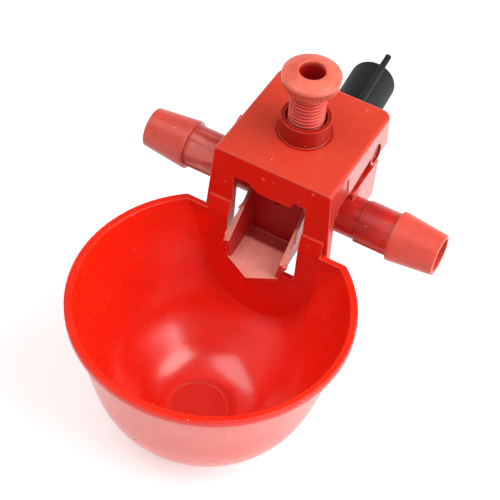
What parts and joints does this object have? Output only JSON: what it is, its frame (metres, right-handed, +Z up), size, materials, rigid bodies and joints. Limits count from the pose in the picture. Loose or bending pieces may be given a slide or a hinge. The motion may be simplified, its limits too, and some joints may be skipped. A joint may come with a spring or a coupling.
{
  "type": "poultry drinking cup",
  "caption": "Hanging drinking cup for poultry: round bowl with a box housing and adjusting screw, on a barbed hose tee with a plugged rear port.",
  "frame": {"origin": "middle of the tee's pipe, on the hose's axis", "axes": "+X along the hose, +Z up, the bowl's round front towards -Y"},
  "size_m": [0.0944, 0.1475, 0.0979],
  "materials": {
    "cup_plastic": "glossy bright red moulding",
    "tee_plastic": "satin dull red moulding",
    "screw_plastic": "satin pinkish red moulding",
    "spring_steel": "drawn wire",
    "plug_rubber": "matt black rubber"
  },
  "bodies": {
    "tee": {"tee_body": "tee_plastic", "rubber_plug": "plug_rubber"},
    "cup": {"cup_housing": "cup_plastic"},
    "spring": {"pressure_spring": "spring_steel"},
    "screw": {"adjusting_screw": "screw_plastic"}
  },
  "joints": [
    {"name": "cup_tilt", "type": "hinge", "parent": "tee", "child": "cup", "pos_m": [0, 0.0137, 0.0133], "axis": [1, 0, 0], "range_deg": [0, 2.5], "stiffness_Nm_per_rad": 0.21, "springref_deg": -8.02},
    {"name": "screw_travel", "type": "slide", "parent": "cup", "child": "spring", "axis": [0, 0, 1], "range_m": [-0.0045, 0], "deforming": ["pressure_spring"]},
    {"name": "screw_turn", "type": "hinge", "parent": "spring", "child": "screw", "pos_m": [0, 0.0032, 0], "axis": [0, 0, 1], "range_deg": [-1306, 10]}
  ],
  "couplings": [
    {"joint": "screw_turn", "follows": "screw_travel", "rad_per_m": 5026.5}
  ]
}
